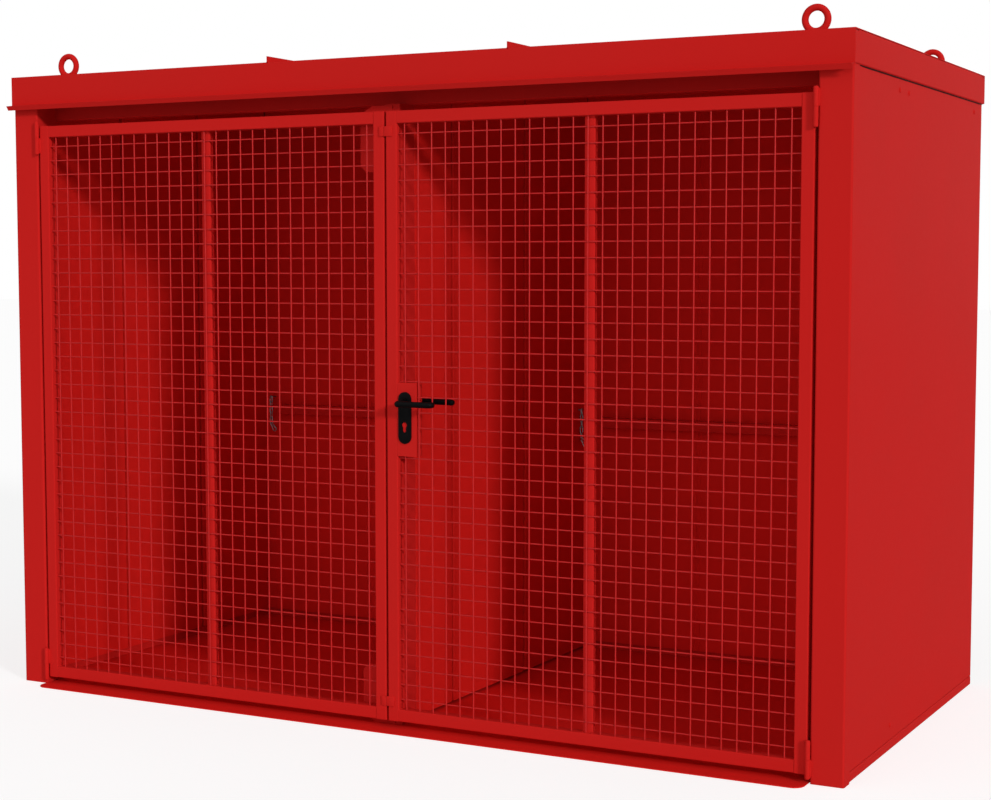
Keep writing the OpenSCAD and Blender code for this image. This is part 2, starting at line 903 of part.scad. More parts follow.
floor_plate();
side_base_rails();
rear_base_rail();
left_front_column();
right_front_column();
centre_post();
header_beam();
left_wall_sheet();
right_wall_sheet();
rear_wall_sheet();
left_wall_panels();
right_wall_panels();
rear_wall_panels();
partition_panels();
left_roof_sheet();
middle_roof_sheet();
right_roof_sheet();
front_fascia();
side_fascias();
rear_fascia();
front_left_eye();
front_right_eye();
rear_left_eye();
rear_right_eye();
stop_plates();
column_hinge_halves();
cylinder_rails();
left_chain();
right_chain();
left_leaf_stiles();
left_leaf_rails();
left_leaf_mid_bar();
left_lower_mesh();
left_middle_mesh();
left_upper_mesh();
left_leaf_fittings();
right_leaf_stiles();
right_leaf_rails();
right_leaf_mid_bar();
right_lower_mesh();
right_middle_mesh();
right_upper_mesh();
right_leaf_fittings();
lock_case();
handle_plates();
lever_handle();
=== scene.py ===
import math

import bmesh
import bpy
from mathutils import Matrix, Vector


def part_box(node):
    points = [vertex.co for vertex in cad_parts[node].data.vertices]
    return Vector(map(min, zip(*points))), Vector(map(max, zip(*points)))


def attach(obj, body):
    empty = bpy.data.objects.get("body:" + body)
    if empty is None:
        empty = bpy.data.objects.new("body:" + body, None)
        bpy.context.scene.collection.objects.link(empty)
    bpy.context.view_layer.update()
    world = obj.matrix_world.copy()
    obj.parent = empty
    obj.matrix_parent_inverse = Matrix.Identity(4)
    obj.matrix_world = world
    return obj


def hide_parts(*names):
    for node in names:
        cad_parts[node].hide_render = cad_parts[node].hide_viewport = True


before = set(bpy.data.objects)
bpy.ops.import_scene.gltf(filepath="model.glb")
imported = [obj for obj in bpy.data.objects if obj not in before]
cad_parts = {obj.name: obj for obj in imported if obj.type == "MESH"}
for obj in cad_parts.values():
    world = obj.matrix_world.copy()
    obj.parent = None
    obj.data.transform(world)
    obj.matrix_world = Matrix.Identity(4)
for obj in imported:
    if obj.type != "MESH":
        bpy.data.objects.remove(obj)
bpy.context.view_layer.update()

# The camera stands to the right of the container and a little above half its height,
# and looks slightly down. Its place, turn and lens come from the lines of the roof,
# columns and walls in the photograph.
photo_camera = bpy.data.cameras.new("photo_camera")
photo_camera.sensor_width = 36.0
photo_camera.lens = 68.105
photo_camera.shift_x = -0.0029
photo_camera.shift_y = 0.0119
camera_stand = bpy.data.objects.new("photo_camera", photo_camera)
camera_stand.location = (3.1552, -6.0115, 1.5256)
camera_stand.rotation_euler = (math.radians(85.545), 0.0, math.radians(27.617))
bpy.context.collection.objects.link(camera_stand)
bpy.context.scene.camera = camera_stand
bpy.context.scene.view_settings.view_transform = "Standard"

# The key lamp is a distant one, low on the right in front of the doors. It shines
# through the mesh onto the left wall of each bay and throws the hinges' shadows.
key_direction = Vector((0.842, -0.446, 0.303))
key_lamp = bpy.data.lights.new("key_lamp", "SUN")
key_lamp.energy = 1.54
key_lamp.angle = math.radians(7.0)
key_stand = bpy.data.objects.new("key_lamp", key_lamp)
key_stand.rotation_euler = key_direction.to_track_quat("Z", "Y").to_euler()
bpy.context.collection.objects.link(key_stand)

# The room fills from the front and from above, as a wide soft box there would, and
# shows plain white to the camera and in every gloss.
front_fill = 1.28
front_focus = 3.0
top_fill = 0.62
base_fill = 0.02
room = bpy.data.worlds.new("room")
bpy.context.scene.world = room
room.use_nodes = True
room_nodes = room.node_tree.nodes
room_links = room.node_tree.links
room_nodes.clear()
sky_place = room_nodes.new("ShaderNodeTexCoord")
sky_axes = room_nodes.new("ShaderNodeSeparateXYZ")
room_links.new(sky_place.outputs["Generated"], sky_axes.inputs[0])


def room_math(operation, first, second, clamp=False):
    node = room_nodes.new("ShaderNodeMath")
    node.operation = operation
    node.use_clamp = clamp
    for socket, value in zip(node.inputs, (first, second)):
        if isinstance(value, float):
            socket.default_value = value
        else:
            room_links.new(value, socket)
    return node.outputs[0]


facing_front = room_math("MULTIPLY", sky_axes.outputs["Y"], -1.0, True)
from_front = room_math("MULTIPLY", room_math("POWER", facing_front, front_focus), front_fill)
from_top = room_math("MULTIPLY", room_math("MULTIPLY", sky_axes.outputs["Z"], 1.0, True), top_fill)
fill_level = room_math("ADD", room_math("ADD", from_front, from_top), base_fill)
fill_light = room_nodes.new("ShaderNodeBackground")
room_links.new(fill_level, fill_light.inputs["Strength"])
white_light = room_nodes.new("ShaderNodeBackground")
white_light.inputs["Color"].default_value = (1.0, 1.0, 1.0, 1.0)
white_light.inputs["Strength"].default_value = 1.0
ray = room_nodes.new("ShaderNodeLightPath")
seen = room_math("ADD", ray.outputs["Is Camera Ray"], ray.outputs["Is Glossy Ray"], True)
seen = room_math("ADD", seen, ray.outputs["Is Transmission Ray"], True)
room_mix = room_nodes.new("ShaderNodeMixShader")
room_links.new(seen, room_mix.inputs[0])
room_links.new(fill_light.outputs[0], room_mix.inputs[1])
room_links.new(white_light.outputs[0], room_mix.inputs[2])
room_out = room_nodes.new("ShaderNodeOutputWorld")
room_links.new(room_mix.outputs[0], room_out.inputs[0])

# The studio floor is a wide pale sheet under the container. It takes the container's
# shadow, and towards the camera it is lifted to meet the white behind it.
floor_half = 60.0
floor_mesh = bpy.data.meshes.new("studio_floor")
floor_form = bmesh.new()
bmesh.ops.create_grid(floor_form, x_segments=1, y_segments=1, size=floor_half)
bmesh.ops.translate(floor_form, verts=floor_form.verts, vec=(0.0, 0.0, -0.0005))
floor_form.to_mesh(floor_mesh)
floor_form.free()
studio_floor = bpy.data.objects.new("studio_floor", floor_mesh)
bpy.context.collection.objects.link(studio_floor)
floor_paper = bpy.data.materials.new("floor_paper")
floor_paper.use_nodes = True
paper_nodes = floor_paper.node_tree.nodes
paper_links = floor_paper.node_tree.links
paper_nodes.clear()
paper_ray = paper_nodes.new("ShaderNodeLightPath")
paper_matte = paper_nodes.new("ShaderNodeBsdfDiffuse")
paper_matte.inputs["Color"].default_value = (0.80, 0.80, 0.80, 1.0)
paper_seen = paper_nodes.new("ShaderNodeBsdfDiffuse")
paper_seen.inputs["Color"].default_value = (0.40, 0.40, 0.40, 1.0)
paper_lift = paper_nodes.new("ShaderNodeEmission")
paper_lift.inputs["Color"].default_value = (1.0, 1.0, 1.0, 1.0)
paper_lift.inputs["Strength"].default_value = 0.74
paper_sum = paper_nodes.new("ShaderNodeAddShader")
paper_links.new(paper_seen.outputs[0], paper_sum.inputs[0])
paper_links.new(paper_lift.outputs[0], paper_sum.inputs[1])
paper_mix = paper_nodes.new("ShaderNodeMixShader")
paper_links.new(paper_ray.outputs["Is Camera Ray"], paper_mix.inputs[0])
paper_links.new(paper_matte.outputs[0], paper_mix.inputs[1])
paper_links.new(paper_sum.outputs[0], paper_mix.inputs[2])
paper_out = paper_nodes.new("ShaderNodeOutputMaterial")
paper_links.new(paper_mix.outputs[0], paper_out.inputs[0])
floor_mesh.materials.append(floor_paper)

# All the steel is covered with one signal red powder coat, baked on after welding. It
# It is half gloss, with the fine peel of baked powder and slightly thinner colour in large
# soft patches. The sheets inside the bays get a lighter red, which is painted light: it
# makes them show as bright through the mesh as in the photograph.
powder = bpy.data.node_groups.new("powder_coat", "ShaderNodeTree")
powder.interface.new_socket("Place", in_out="INPUT", socket_type="NodeSocketVector")
powder.interface.new_socket("Paint", in_out="INPUT", socket_type="NodeSocketColor")
powder.interface.new_socket("Thin paint", in_out="INPUT", socket_type="NodeSocketColor")
powder.interface.new_socket("Gloss", in_out="INPUT", socket_type="NodeSocketFloat")
powder.interface.new_socket("Colour", in_out="OUTPUT", socket_type="NodeSocketColor")
powder.interface.new_socket("Roughness", in_out="OUTPUT", socket_type="NodeSocketFloat")
powder.interface.new_socket("Peel", in_out="OUTPUT", socket_type="NodeSocketFloat")
powder_in = powder.nodes.new("NodeGroupInput")
powder_out = powder.nodes.new("NodeGroupOutput")
patches = powder.nodes.new("ShaderNodeTexNoise")
patches.inputs["Scale"].default_value = 1.7
patches.inputs["Detail"].default_value = 3.0
patch_range = powder.nodes.new("ShaderNodeMapRange")
patch_range.inputs["From Min"].default_value = 0.35
patch_range.inputs["From Max"].default_value = 0.65
paint_mix = powder.nodes.new("ShaderNodeMix")
paint_mix.data_type = "RGBA"
peel = powder.nodes.new("ShaderNodeTexNoise")
peel.inputs["Scale"].default_value = 420.0
peel.inputs["Detail"].default_value = 2.0
waves = powder.nodes.new("ShaderNodeTexNoise")
waves.inputs["Scale"].default_value = 55.0
waves.inputs["Detail"].default_value = 1.0
gloss_range = powder.nodes.new("ShaderNodeMapRange")
gloss_range.inputs["To Min"].default_value = -0.04
gloss_range.inputs["To Max"].default_value = 0.04
gloss_sum = powder.nodes.new("ShaderNodeMath")
peel_sum = powder.nodes.new("ShaderNodeMath")
powder.links.new(powder_in.outputs["Place"], patches.inputs["Vector"])
powder.links.new(powder_in.outputs["Place"], peel.inputs["Vector"])
powder.links.new(powder_in.outputs["Place"], waves.inputs["Vector"])
powder.links.new(patches.outputs["Fac"], patch_range.inputs["Value"])
powder.links.new(patch_range.outputs["Result"], paint_mix.inputs["Factor"])
powder.links.new(powder_in.outputs["Paint"], paint_mix.inputs[6])
powder.links.new(powder_in.outputs["Thin paint"], paint_mix.inputs[7])
powder.links.new(waves.outputs["Fac"], gloss_range.inputs["Value"])
powder.links.new(powder_in.outputs["Gloss"], gloss_sum.inputs[0])
powder.links.new(gloss_range.outputs["Result"], gloss_sum.inputs[1])
powder.links.new(peel.outputs["Fac"], peel_sum.inputs[0])
powder.links.new(waves.outputs["Fac"], peel_sum.inputs[1])
powder.links.new(paint_mix.outputs[2], powder_out.inputs["Colour"])
powder.links.new(gloss_sum.outputs[0], powder_out.inputs["Roughness"])
powder.links.new(peel_sum.outputs[0], powder_out.inputs["Peel"])


def painted_steel(name, paint, thin_paint, gloss, peel_depth, shine=0.005):
    material = bpy.data.materials.new(name)
    material.use_nodes = True
    nodes = material.node_tree.nodes
    links = material.node_tree.links
    surface = nodes["Principled BSDF"]
    surface.inputs["Specular IOR Level"].default_value = shine
    place = nodes.new("ShaderNodeTexCoord")
    coat = nodes.new("ShaderNodeGroup")
    coat.node_tree = powder
    coat.inputs["Paint"].default_value = (*paint, 1.0)
    coat.inputs["Thin paint"].default_value = (*thin_paint, 1.0)
    coat.inputs["Gloss"].default_value = gloss
    bump = nodes.new("ShaderNodeBump")
    bump.inputs["Strength"].default_value = 0.25
    bump.inputs["Distance"].default_value = peel_depth
    links.new(place.outputs["Object"], coat.inputs["Place"])
    links.new(coat.outputs["Colour"], surface.inputs["Base Color"])
    links.new(coat.outputs["Roughness"], surface.inputs["Roughness"])
    links.new(coat.outputs["Peel"], bump.inputs["Height"])
    links.new(bump.outputs["Normal"], surface.inputs["Normal"])
    return material


red = (0.64, 0.0165, 0.0145)
thin_red = (0.62, 0.0175, 0.0150)
# The two lighter reds below are painted light for the sheets inside the bays.
inner_red_painted_light = (0.76, 0.0165, 0.0135)
thin_inner_painted_light = (0.74, 0.0175, 0.0140)
red_sheet = painted_steel("red_sheet", red, thin_red, 0.42, 0.00012)
red_tube = painted_steel("red_tube", red, thin_red, 0.38, 0.00009)
red_lining_painted_light = painted_steel("red_lining_painted_light", inner_red_painted_light, thin_inner_painted_light, 0.48, 0.00012)
red_casting = painted_steel("red_casting", red, thin_red, 0.46, 0.00030)

sheet_nodes = [
    "left_front_column", "right_front_column", "header_beam",
    "left_wall_sheet", "right_wall_sheet", "rear_wall_sheet",
    "left_roof_sheet", "middle_roof_sheet", "right_roof_sheet",
    "front_fascia", "side_fascias", "rear_fascia", "stop_plates", "lock_case",
]
tube_nodes = [
    "side_base_rails", "rear_base_rail", "centre_post", "cylinder_rails",
    "column_hinge_halves", "left_leaf_stiles", "left_leaf_rails", "left_leaf_mid_bar",
    "left_leaf_fittings", "right_leaf_stiles", "right_leaf_rails", "right_leaf_mid_bar",
    "right_leaf_fittings",
]
# These inner sheets take the lighter red, which is painted light.
lining_nodes = [
    "floor_plate", "left_wall_panels", "right_wall_panels", "rear_wall_panels",
    "partition_panels",
]
casting_nodes = ["front_left_eye", "front_right_eye", "rear_left_eye", "rear_right_eye"]
for material, names in (
    (red_sheet, sheet_nodes), (red_lining_painted_light, lining_nodes),
    (red_tube, tube_nodes), (red_casting, casting_nodes),
):
    for name in names:
        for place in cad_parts[name].material_slots:
            place.material = material

# The roof's front edge is one folded sheet. A flange lies under the roof sheets, the
# face hangs down, and its foot is folded forwards into a drip lip whose hem leans back
# under it, so that rain drops clear of the doors.
def add_piece(form, name, body, material, replaces=(), smooth_to=32.0):
    mesh = bpy.data.meshes.new(name)
    bmesh.ops.holes_fill(form, edges=form.edges, sides=0)
    bmesh.ops.recalc_face_normals(form, faces=form.faces)
    form.to_mesh(mesh)
    form.free()
    mesh.shade_smooth()
    mesh.set_sharp_from_angle(angle=math.radians(smooth_to))
    piece = bpy.data.objects.new(name, mesh)
    bpy.context.collection.objects.link(piece)
    mesh.materials.append(material)
    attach(piece, body)
    if replaces:
        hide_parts(*replaces)
    return piece


def fold_sheet(form, line, run, thickness, fold):
    before = set(form.faces)
    corners = [form.verts.new(point) for point in line]
    lines = [form.edges.new(pair) for pair in zip(corners, corners[1:])]
    wall = bmesh.ops.extrude_edge_only(form, edges=lines)["geom"]
    far = [item for item in wall if isinstance(item, bmesh.types.BMVert)]
    bmesh.ops.translate(form, verts=far, vec=run)
    rims = [item for item in wall if isinstance(item, bmesh.types.BMEdge)]
    folds = [rim for rim in rims if len(rim.link_faces) == 2]
    bmesh.ops.bevel(
        form, geom=folds, offset=fold, segments=4, profile=0.5, affect="EDGES", material=-1,
    )
    faces = [face for face in form.faces if face not in before]
    bmesh.ops.recalc_face_normals(form, faces=faces)
    bmesh.ops.solidify(form, geom=faces, thickness=thickness)


roof_low, roof_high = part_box("front_fascia")
edge_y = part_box("left_roof_sheet")[0][1]
edge_top = roof_high[2]
edge_foot = 2.100
edge_flange = 0.040
lip_reach = 0.030
lip_fall = 0.004
hem_reach = 0.020
edge_steel = 0.002
edge_bend = 0.003
form = bmesh.new()
front_edge = [
    (roof_low[0], edge_y + edge_flange, edge_top),
    (roof_low[0], edge_y, edge_top),
    (roof_low[0], edge_y, edge_foot),
    (roof_low[0], edge_y - lip_reach, edge_foot - lip_fall),
    (roof_low[0], edge_y - hem_reach, roof_low[2]),
]
edge_run = (roof_high[0] - roof_low[0], 0.0, 0.0)
fold_sheet(form, front_edge, edge_run, edge_steel, edge_bend)
add_piece(form, "front_roof_edge", "container", red_sheet, ["front_fascia"])

# Flat channels close the grooves between the rear wall's inner panels, and a wider one
# stands in each rear corner. They are pushed in from the front and painted with the wall.
panel_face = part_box("rear_wall_panels")[0][1]
panel_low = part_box("rear_wall_panels")[0][2] + 0.001
panel_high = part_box("rear_wall_panels")[1][2] - 0.003
corner_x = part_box("rear_wall_panels")[1][0]
wall_x = abs(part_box("left_wall_panels")[1][0])
post_x = 0.028
groove = 0.012
groove_recess = 0.003
corner_recess = 0.007
channel_play = 0.0003
channel_leg = 0.010
channel_steel = 0.001
channel_bend = 0.001
tray_pitch = (corner_x - post_x + groove) / 3
channels = []
for sign in (-1, 1):
    for i in (1, 2):
        right = post_x + i * tray_pitch
        channels.append((sign, right - groove, right, panel_face + groove_recess))
    channels.append((sign, corner_x, wall_x, panel_face + corner_recess))
form = bmesh.new()
for sign, near, far, face_y in channels:
    near, far = sign * (near + channel_play), sign * (far - channel_play)
    channel = [
        (near, face_y + channel_leg, panel_low), (near, face_y, panel_low),
        (far, face_y, panel_low), (far, face_y + channel_leg, panel_low),
    ]
    channel_run = (0.0, 0.0, panel_high - panel_low)
    fold_sheet(form, channel, channel_run, -channel_steel, channel_bend)
add_piece(form, "wall_channels", "container", red_lining_painted_light)

# A bead shaped as sealant closes the joint under the roof edge on both sides and at the
# rear, and the rear wall's joint with its base rail. Its dark colour is painted shade for
# the shadowed gaps there. It is drawn out by hand and stands a little proud of the sheets.
def grained(name, dark, light, grain, low_rough, high_rough, depth, shine):
    material = bpy.data.materials.new(name)
    material.use_nodes = True
    nodes = material.node_tree.nodes
    links = material.node_tree.links
    surface = nodes["Principled BSDF"]
    surface.inputs["Specular IOR Level"].default_value = shine
    place = nodes.new("ShaderNodeTexCoord")
    speckle = nodes.new("ShaderNodeTexNoise")
    speckle.inputs["Scale"].default_value = grain
    speckle.inputs["Detail"].default_value = 3.0
    shade = nodes.new("ShaderNodeMix")
    shade.data_type = "RGBA"
    shade.inputs[6].default_value = (*dark, 1.0)
    shade.inputs[7].default_value = (*light, 1.0)
    gloss = nodes.new("ShaderNodeMapRange")
    gloss.inputs["From Min"].default_value = 0.3
    gloss.inputs["From Max"].default_value = 0.7
    gloss.inputs["To Min"].default_value = low_rough
    gloss.inputs["To Max"].default_value = high_rough
    bump = nodes.new("ShaderNodeBump")
    bump.inputs["Strength"].default_value = 0.3
    bump.inputs["Distance"].default_value = depth
    links.new(place.outputs["Object"], speckle.inputs["Vector"])
    links.new(speckle.outputs["Fac"], shade.inputs["Factor"])
    links.new(speckle.outputs["Fac"], gloss.inputs["Value"])
    links.new(speckle.outputs["Fac"], bump.inputs["Height"])
    links.new(shade.outputs[2], surface.inputs["Base Color"])
    links.new(gloss.outputs["Result"], surface.inputs["Roughness"])
    links.new(bump.outputs["Normal"], surface.inputs["Normal"])
    return material


# This near-black red is painted shade for the shadowed joint gaps.
painted_shade_bead = grained(
    "painted_shade_sealant", (0.030, 0.0012, 0.0010), (0.060, 0.0024, 0.0018),
    45.0, 0.5, 0.7, 0.0002, 0.05,
)


def run_on(form, face, move, scale=1.0):
    face = bmesh.ops.extrude_discrete_faces(form, faces=[face])["faces"][0]
    bmesh.ops.translate(form, verts=face.verts, vec=move)
    if scale != 1.0:
        middle = face.calc_center_median()
        bmesh.ops.scale(
            form, verts=face.verts, vec=(scale, scale, scale),
            space=Matrix.Translation(-middle),
        )
    return face


def bend_on(form, face, centre, axis, angle, steps=8):
    turn = Matrix.Rotation(angle / steps, 3, axis)
    for step in range(steps):
        face = bmesh.ops.extrude_discrete_faces(form, faces=[face])["faces"][0]
        bmesh.ops.rotate(form, verts=face.verts, cent=centre, matrix=turn)
    return face


def start_rod(form, centre, heading, radius, sides):
    turn = Vector(heading).to_track_quat("Z", "X").to_matrix().to_4x4()
    ring = bmesh.ops.create_circle(
        form, cap_ends=True, segments=sides, radius=radius,
        matrix=Matrix.Translation(centre) @ turn,
    )
    return ring["verts"][0].link_faces[0]


def lay_bead(form, start, end, radius, ripple, sides=6):
    start, end = Vector(start), Vector(end)
    run = end - start
    steps = max(4, round(run.length / ripple))
    thin_end, hollow = 0.5, 0.88
    scales = [(hollow, 1 / hollow)[step % 2] for step in range(steps)]
    scales[0], scales[-1] = 1 / thin_end, thin_end
    face = start_rod(form, start, run.normalized(), radius * thin_end, sides)
    for scale in scales:
        face = run_on(form, face, run / steps, scale)


bead_r = 0.0028
bead_ripple = 0.060
side_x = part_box("right_wall_sheet")[1][0]
rear_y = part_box("rear_wall_sheet")[1][1]
joint_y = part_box("left_wall_sheet")[0][1] + 0.018
joint_z = edge_foot - 0.001
base_y = rear_y - 0.001
base_z = (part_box("rear_base_rail")[1][2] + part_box("rear_wall_sheet")[0][2]) / 2
form = bmesh.new()
for start, end in (
    ((-side_x, joint_y, joint_z), (-side_x, rear_y, joint_z)),
    ((side_x, joint_y, joint_z), (side_x, rear_y, joint_z)),
    ((-side_x, rear_y, joint_z), (side_x, rear_y, joint_z)),
    ((-side_x, base_y, base_z), (side_x, base_y, base_z)),
):
    lay_bead(form, start, end, bead_r, bead_ripple)
# The bead's dark colour is painted shade.
add_piece(form, "joint_painted_shade", "container", painted_shade_bead)

# Each door is filled with welded wire mesh, painted with its frame. The level wires
# lie behind the upright ones, and both are fused where they cross. The mesh sits evenly
# in its frame, and its level wires stop at the lock case.
wire_pitch = 0.050
upright_r = 0.0023
level_r = 0.0023
wire_fusion = 0.0006
level_y = -0.7602
upright_y = level_y - level_r - upright_r + wire_fusion
mesh_shift = {"left": 0.0, "right": -0.003}
leaf_tube = 0.040


def add_bar(form, low, high, radius, sides=8):
    low, high = Vector(low), Vector(high)
    run = high - low
    turn = run.to_track_quat("Z", "X").to_matrix().to_4x4()
    bmesh.ops.create_cone(
        form, cap_ends=True, segments=sides, radius1=radius, radius2=radius,
        depth=run.length, matrix=Matrix.Translation((low + high) / 2) @ turn,
    )


red_wire = painted_steel(
    "red_wire", (0.60, 0.018, 0.018), (0.58, 0.020, 0.020), 0.34, 0.00005, 0.16,
)
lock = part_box("lock_case")
for side, sign in (("left", -1), ("right", 1)):
    leaf_low, leaf_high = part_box(side + "_leaf_stiles")
    across = sorted((abs(leaf_low[0]), abs(leaf_high[0])))
    near_x = across[0] + leaf_tube
    far_x = across[1] - leaf_tube
    low_z = leaf_low[2] + leaf_tube
    high_z = leaf_high[2] - leaf_tube
    upright_count = int((far_x - near_x) / wire_pitch)
    level_count = int((high_z - low_z) / wire_pitch)
    first_x = (near_x + far_x - (upright_count - 1) * wire_pitch) / 2 + mesh_shift[side]
    first_z = (low_z + high_z - (level_count - 1) * wire_pitch) / 2
    form = bmesh.new()
    for i in range(upright_count):
        x = first_x + i * wire_pitch
        runs = [(low_z, high_z)]
        if sign > 0 and lock[0][0] < x < lock[1][0]:
            runs = [(low_z, lock[0][2]), (lock[1][2], high_z)]
        for low, high in runs:
            add_bar(form, (sign * x, upright_y, low), (sign * x, upright_y, high), upright_r)
    for j in range(level_count):
        z = first_z + j * wire_pitch
        start_x = near_x
        if sign > 0 and lock[0][2] < z < lock[1][2]:
            start_x = lock[1][0]
        add_bar(form, (sign * start_x, level_y, z), (sign * far_x, level_y, z), level_r)
    fields = [side + field for field in ("_lower_mesh", "_middle_mesh", "_upper_mesh")]
    add_piece(form, side + "_welded_mesh", side + "_leaf", red_wire, fields, 60.0)

# The doors hang on weld-on hinges. Each is a barrel turned from bar with domed ends,
# split in the middle, where its halves run on a pin. Short wings are welded to the
# column and to the door's frame.
front_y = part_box("right_leaf_stiles")[0][1]
back_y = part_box("right_leaf_stiles")[1][1]
hinge_low, hinge_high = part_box("column_hinge_halves")
barrel_r = 0.008
barrel_half = 0.059
barrel_split = 0.00015
wing_t = 0.004
column_wing_x = 1.4545
leaf_wing_x = 1.4365
hinge_x = hinge_high[0] - 0.026
hinge_y = hinge_high[1] - barrel_r
hinge_levels = (hinge_low[2] + barrel_half, hinge_high[2] - barrel_half)
barrel_crown = [(0.0, 0.0040), (0.0006, 0.0058), (0.0022, 0.0073), (0.0045, barrel_r)]
barrel_mouth_r = 0.0074
barrel_chamfer = 0.0006
hinge_pin_r = 0.0045
hinge_pin_root = 0.002
hinge_pin = [(0.0, hinge_pin_r), (0.038, hinge_pin_r), (0.040, 0.0035)]
wing_inset = 0.0050
wing_edge = 0.0006
wing_weld_r = 0.0020
wing_weld_inset = 0.002
fixing_ripple = 0.0035


def turn_rod(form, foot, heading, profile, sides=24):
    foot, heading = Vector(foot), Vector(heading)
    (reach, radius), *rest = profile
    face = start_rod(form, foot + heading * reach, heading, radius, sides)
    for next_reach, next_radius in rest:
        face = run_on(form, face, heading * (next_reach - reach), next_radius / radius)
        reach, radius = next_reach, next_radius
    return face


def add_plate(form, low, high, edge, segments=2):
    block = bmesh.ops.create_cube(form, size=1.0)["verts"]
    low, high = Vector(low), Vector(high)
    bmesh.ops.scale(form, verts=block, vec=high - low)
    bmesh.ops.translate(form, verts=block, vec=(low + high) / 2)
    edges = list({line for corner in block for line in corner.link_edges})
    bmesh.ops.bevel(
        form, geom=edges, offset=edge, segments=segments, profile=0.5,
        affect="EDGES", material=-1,
    )


def add_hinge_half(form, sign, level, upper, wing_x):
    tall = barrel_half - barrel_split
    foot = level + barrel_split if upper else level - barrel_half
    if upper:
        profile = [(0.0, barrel_mouth_r), (barrel_chamfer, barrel_r)]
        profile += [(tall - reach, radius) for reach, radius in reversed(barrel_crown)]
    else:
        profile = barrel_crown + [(tall - barrel_chamfer, barrel_r), (tall, barrel_mouth_r)]
        pin_foot = (sign * hinge_x, hinge_y, foot + tall - hinge_pin_root)
        turn_rod(form, pin_foot, (0.0, 0.0, 1.0), hinge_pin, 12)
    turn_rod(form, (sign * hinge_x, hinge_y, foot), (0.0, 0.0, 1.0), profile)
    near, far = sorted((sign * hinge_x, sign * wing_x))
    wing_low = foot + (barrel_chamfer if upper else wing_inset)
    wing_high = foot + tall - (wing_inset if upper else barrel_chamfer)
    add_plate(form, (near, front_y - wing_t, wing_low), (far, front_y, wing_high), wing_edge)
    weld_y = front_y - 0.0008
    lay_bead(
        form, (sign * wing_x, weld_y, wing_low + wing_weld_inset),
        (sign * wing_x, weld_y, wing_high - wing_weld_inset), wing_weld_r, fixing_ripple,
    )


form = bmesh.new()
for sign in (-1, 1):
    add_hinge_half(form, sign, hinge_levels[0], False, column_wing_x)
    add_hinge_half(form, sign, hinge_levels[1], True, column_wing_x)
add_piece(form, "column_hinges", "container", red_tube, ["column_hinge_halves"])

# Small flat tabs are welded to the meeting edges of both doors, above the lower and
# below the upper rail. They cover the slit between the doors and just clear each other.
tab_h = 0.032
tab_t = 0.004
tab_inset = 0.049
tab_edge = 0.0008
tab_weld_r = 0.0016
tab_levels = (
    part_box("right_leaf_stiles")[0][2] + tab_inset,
    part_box("right_leaf_stiles")[1][2] - tab_inset - tab_h,
)
tab_reach = {"left": (-0.0200, -0.0031), "right": (-0.0025, 0.0290)}
for side, sign in (("left", -1), ("right", 1)):
    form = bmesh.new()
    add_hinge_half(form, sign, hinge_levels[0], True, leaf_wing_x)
    add_hinge_half(form, sign, hinge_levels[1], False, leaf_wing_x)
    near, far = tab_reach[side]
    tab_end = max(abs(near), abs(far))
    weld_start, weld_end = sorted((sign * 0.006, sign * (tab_end - 0.002)))
    weld_y = front_y - 0.0006
    for low in tab_levels:
        add_plate(form, (near, front_y - tab_t, low), (far, front_y, low + tab_h), tab_edge)
        for z in (low, low + tab_h):
            weld_ends = ((weld_start, weld_y, z), (weld_end, weld_y, z))
            lay_bead(form, *weld_ends, tab_weld_r, fixing_ripple)
    add_piece(
        form, side + "_door_fixings", side + "_leaf", red_tube,
        [side + "_leaf_fittings"],
    )

# Two long plates with rounded ends cover the lock on both sides of the door. They are
# moulded in black nylon with a fine grain, and are pierced for the lever and the key.
black = grained(
    "black_nylon", (0.0016, 0.0016, 0.0018), (0.0026, 0.0026, 0.0029),
    900.0, 0.42, 0.60, 0.00006, 0.06,
)
plates_low, plates_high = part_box("handle_plates")
lever_low, lever_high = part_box("lever_handle")
plate_w = 0.048
plate_t = 0.004
plate_x = (plates_low[0] + plates_high[0]) / 2
neck_hole_r = 0.0113
key_fall = 0.072
key_r = 0.0095
slot_half = 0.00625
slot_fall = 0.018
plate_edge = 0.0007
lever_z = (lever_low[2] + lever_high[2]) / 2
key_x = plate_x - 0.001
key_z = lever_z - key_fall


def draw_line(form, corner, move):
    corner = bmesh.ops.extrude_vert_indiv(form, verts=[corner])["verts"][0]
    bmesh.ops.translate(form, verts=[corner], vec=move)
    return corner


def draw_arc(form, corner, centre, angle, steps):
    swung = bmesh.ops.spin(
        form, geom=[corner], cent=centre, axis=(0.0, -1.0, 0.0), angle=angle, steps=steps,
        use_merge=False, use_duplicate=False,
    )
    return swung["geom_last"][0]


